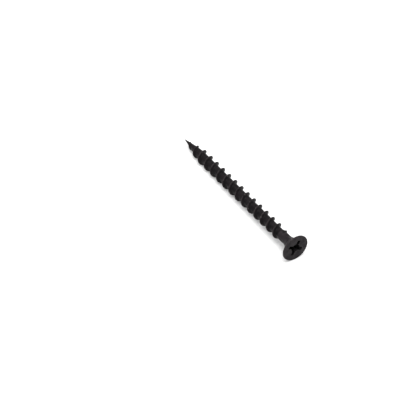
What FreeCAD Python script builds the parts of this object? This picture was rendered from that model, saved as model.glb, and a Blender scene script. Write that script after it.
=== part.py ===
import FreeCAD, Part

import math
import os

import Sketcher

# A bugle-head wood screw, modelled lying down. The X axis is the screw's own axis, the origin is the
# middle of the flat top of the head, the driver comes in from +X and the sharp point lies at -X.
# The real screw is one piece of steel wire: the head is cold-forged with its cross recess, and the
# thread and gimlet point are rolled. Sizes are in millimetres and angles in degrees.

DIMENSIONS = {
    "overall_length": 55.0,
    "head_diameter": 8.4,
    "rim_height": 0.3,
    "rim_round": 0.12,
    "flare_angle": 50.0,
    "flare_radius": 3.7,
    "neck_diameter": 3.0,
    "neck_end": 6.7,
    "shoulder_length": 0.35,
    "root_diameter": 2.6,
    "root_point_length": 8.5,
    "tip_diameter": 0.12,
    "point_pole_share": 0.25,
    "thread_diameter": 4.2,
    "thread_pitch": 3.08,
    "thread_point_length": 9.5,
    "thread_start": 5.8,
    "thread_runout": 1.6,
    "thread_tip_gap": 0.7,
    "thread_phase": -238.0,
    "crest_width": 0.16,
    "flank_angle": 28.0,
    "recess_angle": 60.0,
    "recess_depth": 2.7,
    "wing_span": 5.2,
    "wing_taper": 26.5,
    "wing_width": 1.04,
    "wing_floor_width": 0.74,
    "hub_diameter": 2.7,
    "hub_floor_diameter": 1.9,
    "hub_pit_depth": 0.45,
}

doc = FreeCAD.newDocument("wood_screw")

sheet = doc.addObject("Spreadsheet::Sheet", "Sizes")
for row, (alias, value) in enumerate(DIMENSIONS.items(), start=1):
    sheet.set(f"A{row}", alias.replace("_", " "))
    sheet.set(f"B{row}", str(value))
    sheet.setAlias(f"B{row}", alias)
doc.recompute()


def size(alias):
    """The value of one cell of the sheet."""
    return float(sheet.get(alias))


# ---------------------------------------------------------------- headed and pointed blank
# One half profile turned about X: flat head top, thin rim, trumpet-shaped flare, plain neck,
# a short shoulder down to the thread's root, the root cylinder and the ogive of the point.

blank = doc.addObject("PartDesign::Body", "HeadedBlank")
blank.Label = "headed_blank"
profile = blank.newObject("Sketcher::SketchObject", "HalfProfile")
profile_plane = [f for f in blank.Origin.OriginFeatures if f.Role == "XY_Plane"][0]
profile.AttachmentSupport = [(profile_plane, "")]
profile.MapMode = "FlatFace"

head_radius = size("head_diameter") / 2
neck_radius = size("neck_diameter") / 2
root_radius = size("root_diameter") / 2
thread_radius = size("thread_diameter") / 2
tip_radius = size("tip_diameter") / 2
length = size("overall_length")

flare = math.radians(size("flare_angle"))
flare_arc_drop = size("flare_radius") * (1 - math.cos(flare))
flare_arc_run = size("flare_radius") * math.sin(flare)
flare_line_drop = head_radius - neck_radius - flare_arc_drop
flare_line_end = -size("rim_height") - flare_line_drop / math.tan(flare)
flare_end = flare_line_end - flare_arc_run


def ogive(distance, nose_length, full_radius):
    """Radius of a rounded point at a distance from its tip, on the same curve as the sketch's point:
    three poles, of which the middle one is level with the shank and a part of the way to the tip."""
    from_shank = max(1 - distance / nose_length, 0.0)
    pole = size("point_pole_share")
    along_curve = (math.sqrt(pole ** 2 + (1 - 2 * pole) * from_shank) - pole) / (1 - 2 * pole)
    return full_radius - (full_radius - tip_radius) * along_curve ** 2


def vector(x, y):
    return FreeCAD.Vector(x, y, 0)


def arc(centre, radius, start, end):
    return Part.ArcOfCircle(Part.Circle(centre, FreeCAD.Vector(0, 0, 1), radius),
                            math.radians(start), math.radians(end))


round_size = size("rim_round")
point_start = -(length - size("root_point_length"))
point_pole = vector(point_start - size("root_point_length") * size("point_pole_share"), root_radius)
shoulder_start = -size("neck_end")
shoulder_end = shoulder_start - size("shoulder_length")

head_top = vector(0, head_radius - round_size)
rim_back = vector(-size("rim_height"), head_radius)
flare_joint = vector(flare_line_end, neck_radius + flare_arc_drop)
neck_start = vector(flare_end, neck_radius)
outline = [
    Part.LineSegment(vector(0, 0), head_top),
    arc(vector(-round_size, head_radius - round_size), round_size, 0, 90),
    Part.LineSegment(vector(-round_size, head_radius), rim_back),
    Part.LineSegment(rim_back, flare_joint),
    arc(vector(flare_end, neck_radius + size("flare_radius")), size("flare_radius"),
        270, 270 + size("flare_angle")),
    Part.LineSegment(neck_start, vector(shoulder_start, neck_radius)),
    Part.LineSegment(vector(shoulder_start, neck_radius), vector(shoulder_end, root_radius)),
    Part.LineSegment(vector(shoulder_end, root_radius), vector(point_start, root_radius)),
    Part.BSplineCurve([vector(point_start, root_radius), point_pole, vector(-length, tip_radius)],
                      None, None, False, 2),
    Part.LineSegment(vector(-length, tip_radius), vector(-length, 0)),
    Part.LineSegment(vector(-length, 0), vector(0, 0)),
]
(TOP, RIM_ROUND, RIM, FLARE_CONE, FLARE_ARC, NECK, SHOULDER, ROOT, POINT, TIP, AXIS) = range(len(outline))
START, END, ORIGIN_POINT = 1, 2, (-1, 1)
profile.addGeometry(outline, False)
profile.exposeInternalGeometry(POINT)
POINT_POLE = len(outline) + 1       # the middle pole of the point's curve
CENTRE = 3


def constrain(*terms, name=None, formula=None):
    """Adds one constraint to the profile, and binds its value to the sheet where it has one."""
    number = profile.addConstraint(Sketcher.Constraint(*terms))
    if formula:
        profile.renameConstraint(number, name)
        profile.setExpression(f"Constraints.{name}", formula)


constrain("Coincident", TOP, START, *ORIGIN_POINT)
constrain("Coincident", AXIS, END, *ORIGIN_POINT)
constrain("Vertical", TOP)
constrain("Horizontal", AXIS)
constrain("Tangent", TOP, END, RIM_ROUND, START)
constrain("Tangent", RIM_ROUND, END, RIM, START)
constrain("Horizontal", RIM)
constrain("Coincident", RIM, END, FLARE_CONE, START)
constrain("Tangent", FLARE_CONE, END, FLARE_ARC, END)
constrain("Tangent", FLARE_ARC, START, NECK, START)
constrain("Horizontal", NECK)
constrain("Coincident", NECK, END, SHOULDER, START)
constrain("Coincident", SHOULDER, END, ROOT, START)
constrain("Horizontal", ROOT)
constrain("Coincident", ROOT, END, POINT, START)
constrain("Horizontal", ROOT, END, POINT_POLE, CENTRE)
constrain("Coincident", POINT, END, TIP, START)
constrain("Vertical", TIP)
constrain("Coincident", TIP, END, AXIS, START)
constrain("Radius", RIM_ROUND, round_size, name="rim_round", formula="Sizes.rim_round")
constrain("DistanceY", *ORIGIN_POINT, RIM, END, head_radius,
          name="head_radius", formula="Sizes.head_diameter / 2")
constrain("DistanceX", RIM, END, *ORIGIN_POINT, size("rim_height"),
          name="rim_height", formula="Sizes.rim_height")
constrain("Radius", FLARE_ARC, size("flare_radius"), name="flare_radius", formula="Sizes.flare_radius")
constrain("DistanceX", FLARE_ARC, START, *ORIGIN_POINT, -flare_end, name="flare_length",
          formula=("Sizes.rim_height + Sizes.flare_radius * sin(Sizes.flare_angle * 1 deg)"
                   " + ((Sizes.head_diameter - Sizes.neck_diameter) / 2 - Sizes.flare_radius"
                   " * (1 - cos(Sizes.flare_angle * 1 deg))) / tan(Sizes.flare_angle * 1 deg)"))
constrain("DistanceY", *ORIGIN_POINT, NECK, END, neck_radius,
          name="neck_radius", formula="Sizes.neck_diameter / 2")
constrain("DistanceX", NECK, END, *ORIGIN_POINT, -shoulder_start,
          name="neck_end", formula="Sizes.neck_end")
constrain("DistanceX", SHOULDER, END, SHOULDER, START, size("shoulder_length"),
          name="shoulder_length", formula="Sizes.shoulder_length")
constrain("DistanceY", *ORIGIN_POINT, ROOT, END, root_radius,
          name="root_radius", formula="Sizes.root_diameter / 2")
constrain("DistanceX", POINT, END, ROOT, END, size("root_point_length"),
          name="point_length", formula="Sizes.root_point_length")
constrain("DistanceX", POINT_POLE, CENTRE, ROOT, END, size("root_point_length") * size("point_pole_share"),
          name="point_pole", formula="Sizes.root_point_length * Sizes.point_pole_share")
constrain("DistanceY", TIP, END, TIP, START, tip_radius,
          name="tip_radius", formula="Sizes.tip_diameter / 2")
constrain("DistanceX", AXIS, START, *ORIGIN_POINT, length,
          name="overall_length", formula="Sizes.overall_length")

turning = blank.newObject("PartDesign::Revolution", "TurnedBlank")
turning.Profile = profile
turning.ReferenceAxis = (profile, ["H_Axis"])
turning.Angle = 360.0
doc.recompute()

# ---------------------------------------------------------------- cross recess
# The hollow for a cross-head driver: two crossed tapered wings, a round hub and a shallow pit.


def into_head(primitive_turn, angle):
    """A primitive's own turn, then its angle about the screw's axis."""
    about_axis = FreeCAD.Rotation(FreeCAD.Vector(1, 0, 0), angle)
    return about_axis.multiply(primitive_turn)


wing_turn = FreeCAD.Rotation(FreeCAD.Vector(0, 0, 1), 90)
recess_pieces = []
for wing_name, quarter_turn in (("LongWings", 0), ("CrossWings", 90)):
    wing = doc.addObject("Part::Wedge", wing_name)
    wing.setExpression("Ymin", "0 mm")
    wing.setExpression("Ymax", "Sizes.recess_depth * 1 mm")
    for side, sign in (("min", "-"), ("max", "")):
        wing.setExpression(f"X{side}", f"{sign}Sizes.wing_span / 2 * 1 mm")
        wing.setExpression(f"Z{side}", f"{sign}Sizes.wing_width / 2 * 1 mm")
        wing.setExpression(f"X2{side}", f"{sign}(Sizes.wing_span / 2 - Sizes.recess_depth"
                                        " * tan(Sizes.wing_taper * 1 deg)) * 1 mm")
        wing.setExpression(f"Z2{side}", f"{sign}Sizes.wing_floor_width / 2 * 1 mm")
    wing.Placement = FreeCAD.Placement(FreeCAD.Vector(0, 0, 0),
                                       into_head(wing_turn, size("recess_angle") + quarter_turn))
    recess_pieces.append(wing)

hub_turn = FreeCAD.Rotation(FreeCAD.Vector(0, 1, 0), -90)
hub = doc.addObject("Part::Cone", "Hub")
hub.setExpression("Radius1", "Sizes.hub_diameter / 2 * 1 mm")
hub.setExpression("Radius2", "Sizes.hub_floor_diameter / 2 * 1 mm")
hub.setExpression("Height", "Sizes.recess_depth * 1 mm")
hub.Placement = FreeCAD.Placement(FreeCAD.Vector(0, 0, 0), hub_turn)
recess_pieces.append(hub)

pit = doc.addObject("Part::Cone", "Pit")
pit.setExpression("Radius1", "Sizes.hub_floor_diameter / 2 * 1 mm")
pit.Radius2 = 0
pit.setExpression("Height", "Sizes.hub_pit_depth * 1 mm")
pit.Placement = FreeCAD.Placement(FreeCAD.Vector(-size("recess_depth"), 0, 0), hub_turn)
recess_pieces.append(pit)

recess = doc.addObject("Part::MultiFuse", "CrossRecess")
recess.Label = "cross_recess"
recess.Shapes = recess_pieces

forged = doc.addObject("Part::Cut", "ForgedBlank")
forged.Label = "forged_blank"
forged.Base = blank
forged.Tool = recess
doc.recompute()

# ---------------------------------------------------------------- thread ridge
# One right-hand ridge wound from the point to the neck. Its crest follows the ogive of the point,
# stays level along the shank and dives into the root just before the neck, so its radius changes
# all the way: four helical edge curves carry ruled faces between them.

PIECES_PER_TURN = 3
POINTS_PER_PIECE = 8
FOOT_SHARE = 0.75         # the ridge's foot lies this far out inside the root, to fuse well with it

pitch = size("thread_pitch")
flank_slope = math.tan(math.radians(size("flank_angle")))
ridge_start = size("thread_tip_gap")
ridge_end = length - size("thread_start")
runout_end_radius = root_radius * 0.9


def crest_radius(distance):
    """Outer radius of the thread at a distance from the tip."""
    level = ogive(distance, size("thread_point_length"), thread_radius)
    dive = max(0.0, 1 - (ridge_end - distance) / size("thread_runout"))
    return level - (level - runout_end_radius) * dive ** 2


def ridge_point(distance, radius, offset):
    """Point of the ridge at a radius, moved along the axis by an offset from its middle."""
    turn = 2 * math.pi * distance / pitch + math.radians(size("thread_phase"))
    return FreeCAD.Vector(-length + distance + offset, radius * math.cos(turn), radius * math.sin(turn))


def edge_curve(stations, side, at_crest):
    """One helical edge of the ridge over some stations: side is -1 towards the point, +1 the head."""
    points = []
    for distance in stations:
        crest = crest_radius(distance)
        foot = FOOT_SHARE * ogive(distance, size("root_point_length"), root_radius)
        radius = crest if at_crest else foot
        half_width = size("crest_width") / 2 * min(1.0, crest / root_radius)
        points.append(ridge_point(distance, radius, side * (half_width + flank_slope * (crest - radius))))
    curve = Part.BSplineCurve()
    curve.interpolate(Points=points, Parameters=stations)
    return curve.toShape()


piece_count = math.ceil((ridge_end - ridge_start) / pitch * PIECES_PER_TURN)
piece_length = (ridge_end - ridge_start) / piece_count
faces, end_corners = [], []
for piece in range(piece_count):
    stations = [ridge_start + piece_length * (piece + step / POINTS_PER_PIECE)
                for step in range(POINTS_PER_PIECE + 1)]
    rails = [edge_curve(stations, side, at_crest)
             for side, at_crest in ((-1, False), (-1, True), (1, True), (1, False))]
    faces += [Part.makeRuledSurface(rail, rails[(number + 1) % 4]) for number, rail in enumerate(rails)]
    if piece == 0:
        end_corners.append([rail.Vertexes[0].Point for rail in rails])
    if piece == piece_count - 1:
        end_corners.append([rail.Vertexes[-1].Point for rail in rails])
faces += [Part.Face(Part.makePolygon(corners + corners[:1])) for corners in end_corners]
ridge_shell = Part.makeShell(faces)
ridge_shell.sewShape()
ridge_solid = Part.makeSolid(ridge_shell)
if ridge_solid.Volume < 0:
    ridge_solid.reverse()

ridge = doc.addObject("Part::Feature", "ThreadRidge")
ridge.Label = "thread_ridge"
ridge.Shape = ridge_solid
ridge.Placement = FreeCAD.Placement()

# ---------------------------------------------------------------- finished screw

screw = doc.addObject("Part::Fuse", "WoodScrew")
screw.Label = "wood_screw"
screw.Base = forged
screw.Tool = ridge
doc.recompute()

for item in doc.Objects:
    if "Invalid" in item.State or "Error" in item.State:
        raise RuntimeError(f"{item.Label} failed: {item.State}")
for item in (blank, recess, forged, ridge, screw):
    if item.Shape.isNull() or not item.Shape.isValid():
        raise RuntimeError(f"{item.Label} has no valid shape")
if len(screw.Shape.Solids) != 1:
    raise RuntimeError("the screw must be one solid")

os.makedirs("parts", exist_ok=True)
screw.Shape.exportStep(f"parts/{screw.Label}.step")
box = screw.Shape.optimalBoundingBox()
print(f"{screw.Label}: {screw.Shape.Volume:.1f} mm3")
print(f"box: {box.XLength:.2f} x {box.YLength:.2f} x {box.ZLength:.2f} mm")
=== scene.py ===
import math

import bmesh
import bpy
from mathutils import Matrix, Vector, noise


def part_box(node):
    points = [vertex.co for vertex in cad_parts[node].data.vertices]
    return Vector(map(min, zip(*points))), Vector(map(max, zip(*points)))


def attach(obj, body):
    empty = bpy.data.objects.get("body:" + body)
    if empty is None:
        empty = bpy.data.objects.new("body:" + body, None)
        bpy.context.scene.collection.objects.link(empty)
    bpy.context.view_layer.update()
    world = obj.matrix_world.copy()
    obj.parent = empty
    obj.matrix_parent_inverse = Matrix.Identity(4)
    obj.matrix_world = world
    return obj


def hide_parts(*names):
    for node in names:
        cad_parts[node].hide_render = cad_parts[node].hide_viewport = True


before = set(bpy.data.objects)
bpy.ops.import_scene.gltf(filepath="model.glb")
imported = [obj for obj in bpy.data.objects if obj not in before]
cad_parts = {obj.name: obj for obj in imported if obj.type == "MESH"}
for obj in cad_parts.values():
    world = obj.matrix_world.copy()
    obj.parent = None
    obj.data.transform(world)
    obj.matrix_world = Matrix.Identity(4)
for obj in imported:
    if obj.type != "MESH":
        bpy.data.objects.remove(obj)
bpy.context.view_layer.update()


# ------------------------------------------------------------------ camera
# A long lens, a metre away and well above the screw, looks down past the drive side of the head.

MM = 0.001
node_low, node_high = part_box("wood_screw")
length = -node_low.x
camera_distance = 980 * MM
camera_azimuth = math.radians(-34.5)
camera_elevation = math.radians(43.4)
frame_width = 113.8 * MM
sensor_width = 36
aim_right = -11.15 * MM
aim_up = -2.06 * MM

towards = Vector((math.cos(camera_elevation) * math.cos(camera_azimuth),
                  math.cos(camera_elevation) * math.sin(camera_azimuth),
                  math.sin(camera_elevation)))
camera_right = Vector((0, 0, 1)).cross(towards).normalized()
camera_up = towards.cross(camera_right)
aim = Vector((-length / 2, 0, 0)) + aim_right * camera_right + aim_up * camera_up

camera_data = bpy.data.cameras.new("camera")
camera_data.sensor_width = sensor_width
camera_data.lens = sensor_width * camera_distance / frame_width
camera_data.clip_start = 50 * MM
camera_data.clip_end = 20000 * MM
camera = bpy.data.objects.new("camera", camera_data)
camera.matrix_world = Matrix.Translation(aim + towards * camera_distance) @ Matrix(
    (camera_right, camera_up, towards)).transposed().to_4x4()
bpy.context.scene.collection.objects.link(camera)
bpy.context.scene.camera = camera


# ------------------------------------------------------------------ head and neck
# The head is struck cold from the end of the wire: a flat top, a thin rounded rim and a flare like a
# trumpet's, which runs into a short plain neck.

TURNED_STEPS = 128
FLARE_STEPS = 14
head_radius = node_high.y
rim_round = 0.12 * MM
rim_height = 0.3 * MM
rim_back_round = 0.05 * MM
rim_back_turn = 0.78 * math.pi
flare_angle = math.radians(50)
flare_radius = 3.7 * MM
neck_radius = 1.5 * MM
neck_cut = -5.3 * MM
top_ring_radius = 3.1 * MM


def arc_points(centre_x, centre_r, radius, start, end, steps):
    """Points of an arc in the half plane of a turned outline, from one angle to another."""
    return [(centre_x + radius * math.cos(start + (end - start) * i / steps),
             centre_r + radius * math.sin(start + (end - start) * i / steps)) for i in range(steps + 1)]


flare_drop = flare_radius * (1 - math.cos(flare_angle))
flare_line_end = -rim_height - (head_radius - neck_radius - flare_drop) / math.tan(flare_angle)
flare_end = flare_line_end - flare_radius * math.sin(flare_angle)
outline = [(0.0, top_ring_radius), (0.0, head_radius - 3 * rim_round)]
outline += arc_points(-rim_round, head_radius - rim_round, rim_round, 0, math.pi / 2, 4)
outline += arc_points(-rim_height, head_radius - rim_back_round, rim_back_round,
                      math.pi / 2, rim_back_turn, 2)
flare_line_start = outline[-1]
for share in (0.2, 0.4, 0.6, 0.8):
    outline.append((flare_line_start[0] + (flare_line_end - flare_line_start[0]) * share,
                    flare_line_start[1] + (neck_radius + flare_drop - flare_line_start[1]) * share))
outline += arc_points(flare_end, neck_radius + flare_radius, flare_radius,
                      -math.pi / 2 + flare_angle, -math.pi / 2, FLARE_STEPS)
outline += [((flare_end + neck_cut) / 2, neck_radius), (neck_cut, neck_radius)]

recess_turn = math.radians(60)
first_angle = recess_turn - math.pi / 4
bm = bmesh.new()

# Each vertex says how worn its edge is, how much painted shade it takes for lying deep in a hollow, and how
# far across the profile it is, which the marks of the tools follow.
edge_layer, hollow_layer, across_layer = [bm.verts.layers.float.new(n) for n in ("edge", "hollow", "across")]
rim_points = range(2, 9)
chain = [bm.verts.new((x, r * math.cos(first_angle), r * math.sin(first_angle))) for x, r in outline]
links = [bm.edges.new(pair) for pair in zip(chain, chain[1:])]
for number, vertex in enumerate(chain):
    vertex[edge_layer] = 1.0 if number in rim_points else 0.0
    vertex[across_layer] = outline[number][1] - outline[number][0]
bmesh.ops.spin(bm, geom=chain + links, cent=(0, 0, 0), axis=(1, 0, 0), dvec=(0, 0, 0),
               angle=2 * math.pi, steps=TURNED_STEPS, use_merge=True)
bmesh.ops.remove_doubles(bm, verts=bm.verts, dist=1e-7)


def ring_at(x):
    """The open edges of the mesh that lie in one plane across the screw's axis."""
    return [e for e in bm.edges if e.is_boundary and all(abs(v.co.x - x) < 1e-6 for v in e.verts)]


# ------------------------------------------------------------------ cross recess
# A punch leaves four tapered wings round a hub, with a shallow pit at the bottom and a soft lip at
# the mouth. It is one ring of points, drawn down into the head level by level.

WING_POINTS = TURNED_STEPS // 4
TIP_STEPS = 5
SIDE_STEPS = 5
HUB_STEPS = WING_POINTS // 2 - TIP_STEPS - SIDE_STEPS
recess_depth = 2.7 * MM
wing_reach = 2.6 * MM
wing_taper = math.tan(math.radians(26.5))
wing_half_width = 0.52 * MM
wing_floor_half_width = 0.37 * MM
wing_tip_round = 0.16 * MM
hub_radius = 1.35 * MM
hub_floor_radius = 0.95 * MM
lip = 0.07 * MM
pit_depth = 0.45 * MM


def recess_point(number, depth, grow):
    """One point of the recess's outline at a depth, in the plane across the screw's axis."""
    wing, place = divmod(number, WING_POINTS)
    step = abs(place - WING_POINTS // 2)
    side = -1 if place < WING_POINTS // 2 else 1
    fall = depth / recess_depth
    reach = wing_reach - depth * wing_taper + grow
    half = wing_half_width + (wing_floor_half_width - wing_half_width) * fall + grow
    hub = hub_radius + (hub_floor_radius - hub_radius) * fall + grow
    root_turn = math.asin(half / hub)
    round_size = min(wing_tip_round, half * 0.6)
    if step <= TIP_STEPS:
        turn = max(step - 1, 0) * math.pi / 2 / (TIP_STEPS - 1)
        along = reach - round_size * (1 - math.cos(turn))
        across = (half - round_size * (1 - math.sin(turn))) if step else 0.0
    elif step <= TIP_STEPS + SIDE_STEPS:
        share = (step - TIP_STEPS) / SIDE_STEPS
        along = (reach - round_size) * (1 - share) + hub * math.cos(root_turn) * share
        across = half
    else:
        turn = root_turn + (math.pi / 4 - root_turn) * (step - TIP_STEPS - SIDE_STEPS) / HUB_STEPS
        along, across = hub * math.cos(turn), hub * math.sin(turn)
    angle = recess_turn + wing * math.pi / 2 + math.atan2(side * across, along)
    radius = math.hypot(along, across)
    return radius * math.cos(angle), radius * math.sin(angle)


def place_recess(ring, depth, grow):
    """Moves a ring of vertices to the recess's outline at a depth, a little wider all round if asked."""
    for number, vertex in enumerate(ring):
        vertex.co = Vector((-depth, *recess_point(number, depth, grow)))


def draw_in(ring):
    """Extrudes a closed ring of vertices and gives the new ring, in the same order."""
    closed = ring + ring[:1]
    edges = [bm.edges.get(pair) or bm.edges.new(pair) for pair in zip(closed, closed[1:])]
    made = bmesh.ops.extrude_edge_only(bm, edges=edges)["geom"]
    new_vertices = {v for v in made if isinstance(v, bmesh.types.BMVert)}
    partner = {}
    for edge in (e for v in new_vertices for e in v.link_edges):
        a, b = edge.verts
        if (a in new_vertices) != (b in new_vertices):
            old, new = (b, a) if a in new_vertices else (a, b)
            partner[old] = new
    return [partner[v] for v in ring]


ring = sorted({v for e in ring_at(0.0) for v in e.verts},
              key=lambda v: (math.atan2(v.co.z, v.co.y) - first_angle + 0.001) % math.tau)
levels = [(0.0, lip * 1.6), (0.0, lip), (lip * 0.13, lip * 0.5), (lip * 0.5, lip * 0.13), (lip, 0.0)]
levels += [(recess_depth * share, 0.0) for share in (0.15, 0.35, 0.55, 0.75, 0.9, 1.0)]
for depth, grow in levels:
    ring = draw_in(ring)
    place_recess(ring, depth, grow)
    for number, vertex in enumerate(ring):
        # Painted shade: the deeper in the recess, the darker the colour, the hub wall less so than the wings;
        # none at the lip.
        on_hub = abs(number % WING_POINTS - WING_POINTS // 2) > TIP_STEPS + SIDE_STEPS
        painted_shade = (0.3 if on_hub else 0.75) + depth / recess_depth
        vertex[edge_layer] = 0.8 if 0 < grow <= lip else 0.0
        vertex[hollow_layer] = min(painted_shade, 1.0) if depth > 0.5 * lip else 0.0
for share in (0.75, 0.4):
    ring = draw_in(ring)
    for number, vertex in enumerate(ring):
        y, z = recess_point(number, recess_depth, 0)
        flat = Vector((0, y, z)).normalized() * hub_floor_radius * share
        vertex.co = Vector((-recess_depth - pit_depth * (1 - share), flat.y, flat.z))
pit_face = bm.faces.new(ring)
middle = bmesh.ops.poke(bm, faces=[pit_face])["verts"][0]
middle.co = Vector((-recess_depth - pit_depth, 0, 0))


# ------------------------------------------------------------------ threaded shank and gimlet point
# Flat dies roll one right-hand ridge into the wire, from just below the neck to the point, where the
# root and the ridge both taper off like the nose of a bullet.

root_radius = 1.3 * MM
thread_radius = 2.1 * MM
tip_radius = 0.06 * MM
pitch = 3.08 * MM
thread_phase = math.radians(-238.0)
root_nose = 8.5 * MM
thread_nose = 9.5 * MM
thread_start = 5.8 * MM
thread_runout = 1.6 * MM
nose_pole = 0.25
needle_length = 2.0 * MM
needle_pinch = 0.7
neck_join = neck_cut - 0.15 * MM
tip_cut = -length + 0.02 * MM
shoulder_start = -6.85 * MM
shoulder_end = -7.6 * MM
join_sharpness = 4
ridge_height = thread_radius - root_radius
crest_half_width = 0.09 * MM
foot_half_width = 0.63 * MM
foot_offset = foot_half_width / MM
half_profile = [(0.0, 0.985), (0.03, 1.0), (0.065, 0.99), (0.09, 0.95), (0.2, 0.71), (0.3, 0.46),
                (0.39, 0.24), (0.46, 0.1), (0.53, 0.03), (foot_offset, 0.0)]
half_profile += [(foot_offset + (pitch / MM / 2 - foot_offset) * step / 6, 0.0) for step in range(1, 7)]
sunk_root_share = 0.9
least_narrow = 0.12
groove_shade = 0.5
groove_shade_width = 0.16 * MM
turn_gap = 0.005 * MM
cut_gap = 0.0001 * MM


def soft_step(share):
    """Rises smoothly from 0 to 1 as the share does, and stays there."""
    share = min(max(share, 0.0), 1.0)
    return share * share * (3 - 2 * share)


def nose(distance, nose_length, full_radius):
    """Radius of a rounded point at a distance from its tip: a curve of three poles."""
    from_shank = min(max(1 - distance / nose_length, 0.0), 1.0)
    straightness = 1 - 2 * nose_pole
    along_curve = (math.sqrt(nose_pole ** 2 + straightness * from_shank) - nose_pole) / straightness
    return full_radius - (full_radius - tip_radius) * along_curve ** 2


def ridge_at(distance):
    """Height of the ridge over the wire at a distance from the tip: it dives into the wire at the neck."""
    root = nose(distance, root_nose, root_radius)
    level = nose(distance, thread_nose, thread_radius)
    dive = max(0.0, 1 - (length - thread_start - distance) / thread_runout)
    return max(level - (level - root * sunk_root_share) * dive ** 2 - root, 0.0)


tm = bmesh.new()
chain = []
first_turn = thread_phase - math.tau
mirrored = [(-u, share) for u, share in reversed(half_profile[1:])]
for offset, share in mirrored + half_profile:
    r = root_radius + ridge_height * share
    first_x = -length - pitch + offset * MM
    chain.append(tm.verts.new((first_x, r * math.cos(first_turn), r * math.sin(first_turn))))
links = [tm.edges.new(pair) for pair in zip(chain, chain[1:])]
bmesh.ops.spin(tm, geom=chain + links, cent=(0, 0, 0), axis=(1, 0, 0),
               dvec=(pitch / TURNED_STEPS, 0, 0), angle=math.tau, steps=TURNED_STEPS)
one_turn = tm.verts[:] + tm.edges[:] + tm.faces[:]
for turn in range(1, int(length / pitch) + 2):
    copied = bmesh.ops.duplicate(tm, geom=one_turn)["geom"]
    moved = [v for v in copied if isinstance(v, bmesh.types.BMVert)]
    bmesh.ops.translate(tm, vec=(pitch * turn, 0, 0), verts=moved)
bmesh.ops.remove_doubles(tm, verts=tm.verts, dist=turn_gap)
for cut_x, clear_neck in ((neck_join, True), (tip_cut, False)):
    bmesh.ops.bisect_plane(tm, geom=tm.verts[:] + tm.edges[:] + tm.faces[:], dist=1e-8,
                           plane_co=(cut_x, 0, 0), plane_no=(1, 0, 0),
                           clear_outer=clear_neck, clear_inner=not clear_neck)
bmesh.ops.remove_doubles(tm, verts=tm.verts, dist=cut_gap)

thread_edge, thread_hollow, thread_across = [tm.verts.layers.float.new(name)
                                             for name in ("edge", "hollow", "across")]
for vertex in tm.verts:
    x, y, z = vertex.co
    radius = math.hypot(y, z)
    share = max((radius - root_radius) / ridge_height, 0.0)
    lead = -length + pitch * (math.atan2(z, y) - thread_phase) / math.tau
    middle_x = lead + pitch * round((x - lead) / pitch)
    distance = middle_x + length
    reach = abs(x - middle_x)
    rise = ridge_at(distance)
    full_rise = nose(distance, thread_nose, thread_radius) - nose(distance, root_nose, root_radius)
    narrow = min(max(full_rise / ridge_height, least_narrow), 1.0)
    foot = crest_half_width + (foot_half_width - crest_half_width) * narrow
    if reach < foot_half_width:
        reach = min(reach, crest_half_width) + max(reach - crest_half_width, 0) * narrow
    else:
        reach = foot + (reach - foot_half_width) * (pitch / 2 - foot) / (pitch / 2 - foot_half_width)
    settle = soft_step((x - tip_cut) / needle_length) * soft_step((neck_join - x) / pitch)
    x += (middle_x + math.copysign(reach, x - middle_x) - x) * settle
    height = rise / ridge_height
    vertex[thread_edge] = share ** 2 * min(height * 1.5, 1.0)
    # Painted shade: a dark band in the groove beside the foot of each ridge, as strong as the ridge is tall.
    from_groove = (reach - foot * 0.8) / groove_shade_width
    vertex[thread_hollow] = groove_shade * height * math.exp(-from_groove ** 2)
    vertex[thread_across] = reach
    shoulder = (neck_radius - root_radius) * soft_step((x - shoulder_end) / (shoulder_start - shoulder_end))
    rounded_join = ((share * rise) ** join_sharpness + shoulder ** join_sharpness) ** (1 / join_sharpness)
    needle = needle_pinch + (1 - needle_pinch) * soft_step((x + length) / needle_length)
    new_radius = nose(x + length, root_nose, root_radius) * needle + rounded_join
    vertex.co = Vector((x, new_radius * y / radius, new_radius * z / radius))

# Helical lines cross the cut between the regular ones: those extra vertices join their neighbours. Where
# two vertices lie on one regular line, the nearer to it stays.
tm.verts.index_update()
cut_ring = sorted({v for e in tm.edges if e.is_boundary for v in e.verts if abs(v.co.x - neck_join) < 1e-7},
                  key=lambda v: v.index)
spacing = math.tau / TURNED_STEPS
line_tolerance = 0.02
turn_of = {v: (math.atan2(v.co.z, v.co.y) - thread_phase) / spacing for v in cut_ring}
off_line = {v: abs(turn_of[v] - round(turn_of[v])) for v in cut_ring}
regular = {round(turn_of[v]) % TURNED_STEPS: v for v in sorted(cut_ring, key=off_line.get, reverse=True)
           if off_line[v] < line_tolerance}
extra = {v: regular[round(turn_of[v]) % TURNED_STEPS] for v in cut_ring if v not in regular.values()}
bmesh.ops.weld_verts(tm, targetmap=extra)

thread_mesh = bpy.data.meshes.new("thread")
tm.to_mesh(thread_mesh)
tm.free()
head_faces = len(bm.faces)
bm.from_mesh(thread_mesh)
bpy.data.meshes.remove(thread_mesh)
bm.faces.ensure_lookup_table()
# Faces on the thread and its ridge take the second copy of the phosphate, whose darker tones are painted
# shade for the grooves.
for face in bm.faces[head_faces:]:
    rolled = face.calc_center_median().x < shoulder_start
    on_ridge = max(v[bm.verts.layers.float["edge"]] for v in face.verts) > 0.02
    face.material_index = 1 if rolled or on_ridge else 0
bmesh.ops.bridge_loops(bm, edges=ring_at(neck_cut) + ring_at(neck_join))
tip_face = bmesh.ops.contextual_create(bm, geom=ring_at(tip_cut))["faces"][0]
tip_face.material_index = 1
tip_point = bmesh.ops.poke(bm, faces=[tip_face])["verts"][0]
tip_point.co = Vector((-length, 0, 0))
bmesh.ops.recalc_face_normals(bm, faces=bm.faces)
if bm.calc_volume(signed=True) < 0:
    bmesh.ops.reverse_faces(bm, faces=bm.faces)


# ------------------------------------------------------------------ knocks from the box
# Loose screws rub and knock together in their box. The crests and the rim take small nicks, which
# show bare steel, and no face that was struck or rolled is quite true.

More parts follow.
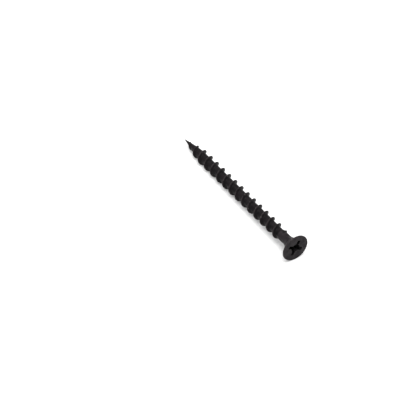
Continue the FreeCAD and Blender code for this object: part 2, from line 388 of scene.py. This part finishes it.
nick_depth = 0.22 * MM
swell_height = 0.006 * MM
nick_threshold = 0.47
edge_layer = bm.verts.layers.float["edge"]
bare_layer = bm.verts.layers.float.new("bare")
for vertex in bm.verts:
    place = vertex.co / MM
    outward = Vector((0, place.y, place.z)).normalized()
    nick = max(0.0, noise.noise(place * 1.9 + Vector((31, 7, 3))) - nick_threshold) * vertex[edge_layer]
    swell = noise.noise(place * 1.2) * swell_height
    vertex[bare_layer] = min(nick * 8, 1.0)
    vertex.co += outward * (swell - nick * nick_depth)

screw_mesh = bpy.data.meshes.new("screw")
bm.to_mesh(screw_mesh)
bm.free()
screw_mesh.shade_smooth()
screw_mesh.set_sharp_from_angle(angle=math.radians(32))
screw = bpy.data.objects.new("screw", screw_mesh)
bpy.context.scene.collection.objects.link(screw)
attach(screw, "root")
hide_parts("wood_screw")


# ------------------------------------------------------------------ black phosphate
# The screw is steeped in a hot phosphate bath, which grows a matt crust of black crystals, and then
# dipped in thin oil. The crust is uneven from place to place and rubs thin on every edge.
# The colour also holds painted shade: near black deep in the recess and in the grooves, and darker all over
# the rolled thread.


def add_node(tree, kind, inputs=None, **settings):
    """Adds one shader node, with some of its settings and unlinked inputs."""
    node = tree.nodes.new(kind)
    for name, value in settings.items():
        setattr(node, name, value)
    for name, value in (inputs or {}).items():
        node.inputs[name].default_value = value
    return node


def new_group(name, inputs, outputs):
    """A shader node group with the given inputs and float outputs, and its two end nodes."""
    group = bpy.data.node_groups.new(name, "ShaderNodeTree")
    for socket_name, kind, value in inputs:
        socket = group.interface.new_socket(socket_name, in_out="INPUT", socket_type=kind)
        if value is not None:
            socket.default_value = value
    for socket_name in outputs:
        group.interface.new_socket(socket_name, in_out="OUTPUT", socket_type="NodeSocketFloat")
    return group, group.nodes.new("NodeGroupInput"), group.nodes.new("NodeGroupOutput")


def spread(group, source, low, high, new_low=0.0, new_high=1.0):
    """A smooth change of range, clamped at both ends."""
    node = add_node(group, "ShaderNodeMapRange", {"From Min": low, "From Max": high, "To Min": new_low,
                                                  "To Max": new_high}, interpolation_type="SMOOTHSTEP")
    group.links.new(source, node.inputs["Value"])
    return node.outputs["Result"]


def calculate(group, operation, first, second):
    """One sum on two values, each a number or another node's output."""
    node = add_node(group, "ShaderNodeMath", operation=operation)
    for socket, value in zip(node.inputs, (first, second)):
        if isinstance(value, (int, float)):
            socket.default_value = value
        else:
            group.links.new(value, socket)
    return node.outputs["Value"]


def cloud(group, vector, scale, detail, roughness):
    """Cloudy noise in space, between 0 and 1."""
    node = add_node(group, "ShaderNodeTexNoise", {"Scale": scale, "Detail": detail, "Roughness": roughness})
    group.links.new(vector, node.inputs["Vector"])
    return node.outputs["Fac"]


crust, crust_in, crust_out = new_group(
    "phosphate_crust", [("Position", "NodeSocketVector", None), ("Across", "NodeSocketFloat", 0.0),
                        ("Line Strength", "NodeSocketFloat", 0.4)],
    ["Thickness", "Grain", "Height"])
patches = spread(crust, cloud(crust, crust_in.outputs["Position"], 620, 5, 0.62), 0.36, 0.66)
grain = spread(crust, cloud(crust, crust_in.outputs["Position"], 9000, 3, 0.7), 0.3, 0.7)
crystals = add_node(crust, "ShaderNodeTexVoronoi", {"Scale": 11000, "Randomness": 1.0}, feature="F1")
crust.links.new(crust_in.outputs["Position"], crystals.inputs["Vector"])
slow = add_node(crust, "ShaderNodeVectorMath", operation="SCALE")
slow.inputs["Scale"].default_value = 160
crust.links.new(crust_in.outputs["Position"], slow.inputs[0])
along_profile = add_node(crust, "ShaderNodeCombineXYZ")
crust.links.new(calculate(crust, "MULTIPLY", crust_in.outputs["Across"], 9000), along_profile.inputs["X"])
line_place = add_node(crust, "ShaderNodeVectorMath", operation="ADD")
crust.links.new(slow.outputs[0], line_place.inputs[0])
crust.links.new(along_profile.outputs[0], line_place.inputs[1])
lines = spread(crust, cloud(crust, line_place.outputs[0], 1.0, 2, 0.5), 0.35, 0.65)
line_height = calculate(crust, "MULTIPLY", lines, crust_in.outputs["Line Strength"])
grain_height = calculate(crust, "ADD", calculate(crust, "MULTIPLY", grain, 0.5),
                         calculate(crust, "MULTIPLY", crystals.outputs["Distance"], 0.35))
crust.links.new(patches, crust_out.inputs["Thickness"])
crust.links.new(grain, crust_out.inputs["Grain"])
crust.links.new(calculate(crust, "ADD", line_height, grain_height), crust_out.inputs["Height"])

rub, rub_in, rub_out = new_group(
    "rubbed_edges", [("Position", "NodeSocketVector", None), ("Edge", "NodeSocketFloat", 0.0),
                     ("Nicks", "NodeSocketFloat", 0.0)],
    ["Rubbed", "Bare"])
broken = cloud(rub, rub_in.outputs["Position"], 1500, 4, 0.65)
worn = calculate(rub, "MULTIPLY", rub_in.outputs["Edge"], spread(rub, broken, 0.3, 0.65, 0.35, 1.1))
rub.links.new(spread(rub, worn, 0.25, 1.0), rub_out.inputs["Rubbed"])
speck = calculate(rub, "MULTIPLY", rub_in.outputs["Nicks"], spread(rub, broken, 0.4, 0.6))
rub.links.new(speck, rub_out.inputs["Bare"])


def phosphate(name, thin, thick, rubbed, line_strength, bump_depth):
    """Black phosphate in two tones, with worn edges, bare nicks, the marks of the tool and painted shade in
    the hollows.
    """
    material = bpy.data.materials.new(name)
    material.use_nodes = True
    tree = material.node_tree
    surface = tree.nodes["Principled BSDF"]
    position = add_node(tree, "ShaderNodeTexCoord").outputs["Object"]
    read = {layer: add_node(tree, "ShaderNodeAttribute", attribute_name=layer).outputs["Fac"]
            for layer in ("edge", "hollow", "across", "bare")}
    crust_node = add_node(tree, "ShaderNodeGroup", node_tree=crust)
    crust_node.inputs["Line Strength"].default_value = line_strength
    rub_node = add_node(tree, "ShaderNodeGroup", node_tree=rub)
    for node, socket, source in ((crust_node, "Position", position), (crust_node, "Across", read["across"]),
                                 (rub_node, "Position", position), (rub_node, "Edge", read["edge"]),
                                 (rub_node, "Nicks", read["bare"])):
        tree.links.new(source, node.inputs[socket])

    def blend(mask, below, above):
        mix = add_node(tree, "ShaderNodeMix", data_type="RGBA")
        tree.links.new(mask, mix.inputs["Factor"])
        for socket, colour in ((mix.inputs[6], below), (mix.inputs[7], above)):
            if isinstance(colour, tuple):
                socket.default_value = (*colour, 1)
            else:
                tree.links.new(colour, socket)
        return mix.outputs[2]

    tone = blend(crust_node.outputs["Thickness"], thin, thick)
    tone = blend(calculate(tree, "MULTIPLY", crust_node.outputs["Grain"], 0.35), tone, (0.004, 0.004, 0.0045))
    tone = blend(calculate(tree, "MULTIPLY", rub_node.outputs["Rubbed"], 0.75), tone, rubbed)
    # Painted shade: the colour goes near black deep in the recess and in the grooves beside the ridges.
    tone = blend(read["hollow"], tone, (0.0015, 0.0015, 0.0018))
    tone = blend(rub_node.outputs["Bare"], tone, (0.11, 0.10, 0.096))
    tree.links.new(tone, surface.inputs["Base Color"])
    tree.links.new(calculate(tree, "MULTIPLY", rub_node.outputs["Bare"], 0.9), surface.inputs["Metallic"])
    matt = spread(tree, crust_node.outputs["Thickness"], 0, 1, 0.44, 0.62)
    worn_matt = calculate(tree, "MULTIPLY", rub_node.outputs["Rubbed"], 0.14)
    tree.links.new(calculate(tree, "SUBTRACT", matt, worn_matt), surface.inputs["Roughness"])
    relief = add_node(tree, "ShaderNodeBump", {"Strength": 1.0, "Distance": bump_depth})
    tree.links.new(crust_node.outputs["Height"], relief.inputs["Height"])
    tree.links.new(relief.outputs["Normal"], surface.inputs["Normal"])
    surface.inputs["Specular IOR Level"].default_value = 0.10
    return material


# Two copies of one phosphate: the rolled one has stronger tool lines and deeper relief, and its much darker
# tones are painted shade standing in for the shade among the thread's turns.
screw_mesh.materials.append(phosphate("forged_phosphate", thin=(0.0150, 0.0116, 0.0134),
                                      thick=(0.0074, 0.0055, 0.0069), rubbed=(0.030, 0.0245, 0.0265),
                                      line_strength=0.3, bump_depth=0.008 * MM))
screw_mesh.materials.append(phosphate("rolled_phosphate_painted_darker", thin=(0.0062, 0.0041, 0.0051),
                                      thick=(0.0016, 0.0009, 0.0014), rubbed=(0.030, 0.0243, 0.026),
                                      line_strength=1.0, bump_depth=0.010 * MM))


# ------------------------------------------------------------------ floor and light
# The screw lies on a pale table, on the rim of its head and the crests of its thread, under one wide
# softbox in an evenly lit room.

floor_half_size = 350 * MM
rest_tilt = math.atan((head_radius - thread_radius) / (length - thread_nose))
floor_place = Matrix.Translation((0, 0, -head_radius)) @ Matrix.Rotation(rest_tilt, 4, "Y")
floor_bm = bmesh.new()
bmesh.ops.create_grid(floor_bm, x_segments=1, y_segments=1, size=floor_half_size)
bmesh.ops.transform(floor_bm, verts=floor_bm.verts, matrix=floor_place)
floor_mesh = bpy.data.meshes.new("floor")
floor_bm.to_mesh(floor_mesh)
floor_bm.free()
floor = bpy.data.objects.new("floor", floor_mesh)
bpy.context.scene.collection.objects.link(floor)
paper = bpy.data.materials.new("white_table")
paper.use_nodes = True
paper_shader = paper.node_tree.nodes["Principled BSDF"]
paper_shader.inputs["Base Color"].default_value = (0.7, 0.7, 0.7, 1)
paper_shader.inputs["Roughness"].default_value = 0.9
floor_mesh.materials.append(paper)

world = bpy.data.worlds.new("studio")
world.use_nodes = True
world.node_tree.nodes["Background"].inputs["Color"].default_value = (1, 1, 1, 1)
world.node_tree.nodes["Background"].inputs["Strength"].default_value = 1.0
bpy.context.scene.world = world
light_data = bpy.data.lights.new("softbox", "AREA")
light_data.shape = "SQUARE"
light_data.size = 800 * MM
light_data.energy = 12
light = bpy.data.objects.new("softbox", light_data)
light_place = Vector((100, -100, 900)) * MM
light_turn = light_place.to_track_quat("Z", "Y").to_matrix().to_4x4()
light.matrix_world = Matrix.Translation(light_place) @ light_turn
bpy.context.scene.collection.objects.link(light)
bpy.context.scene.view_settings.view_transform = "Standard"
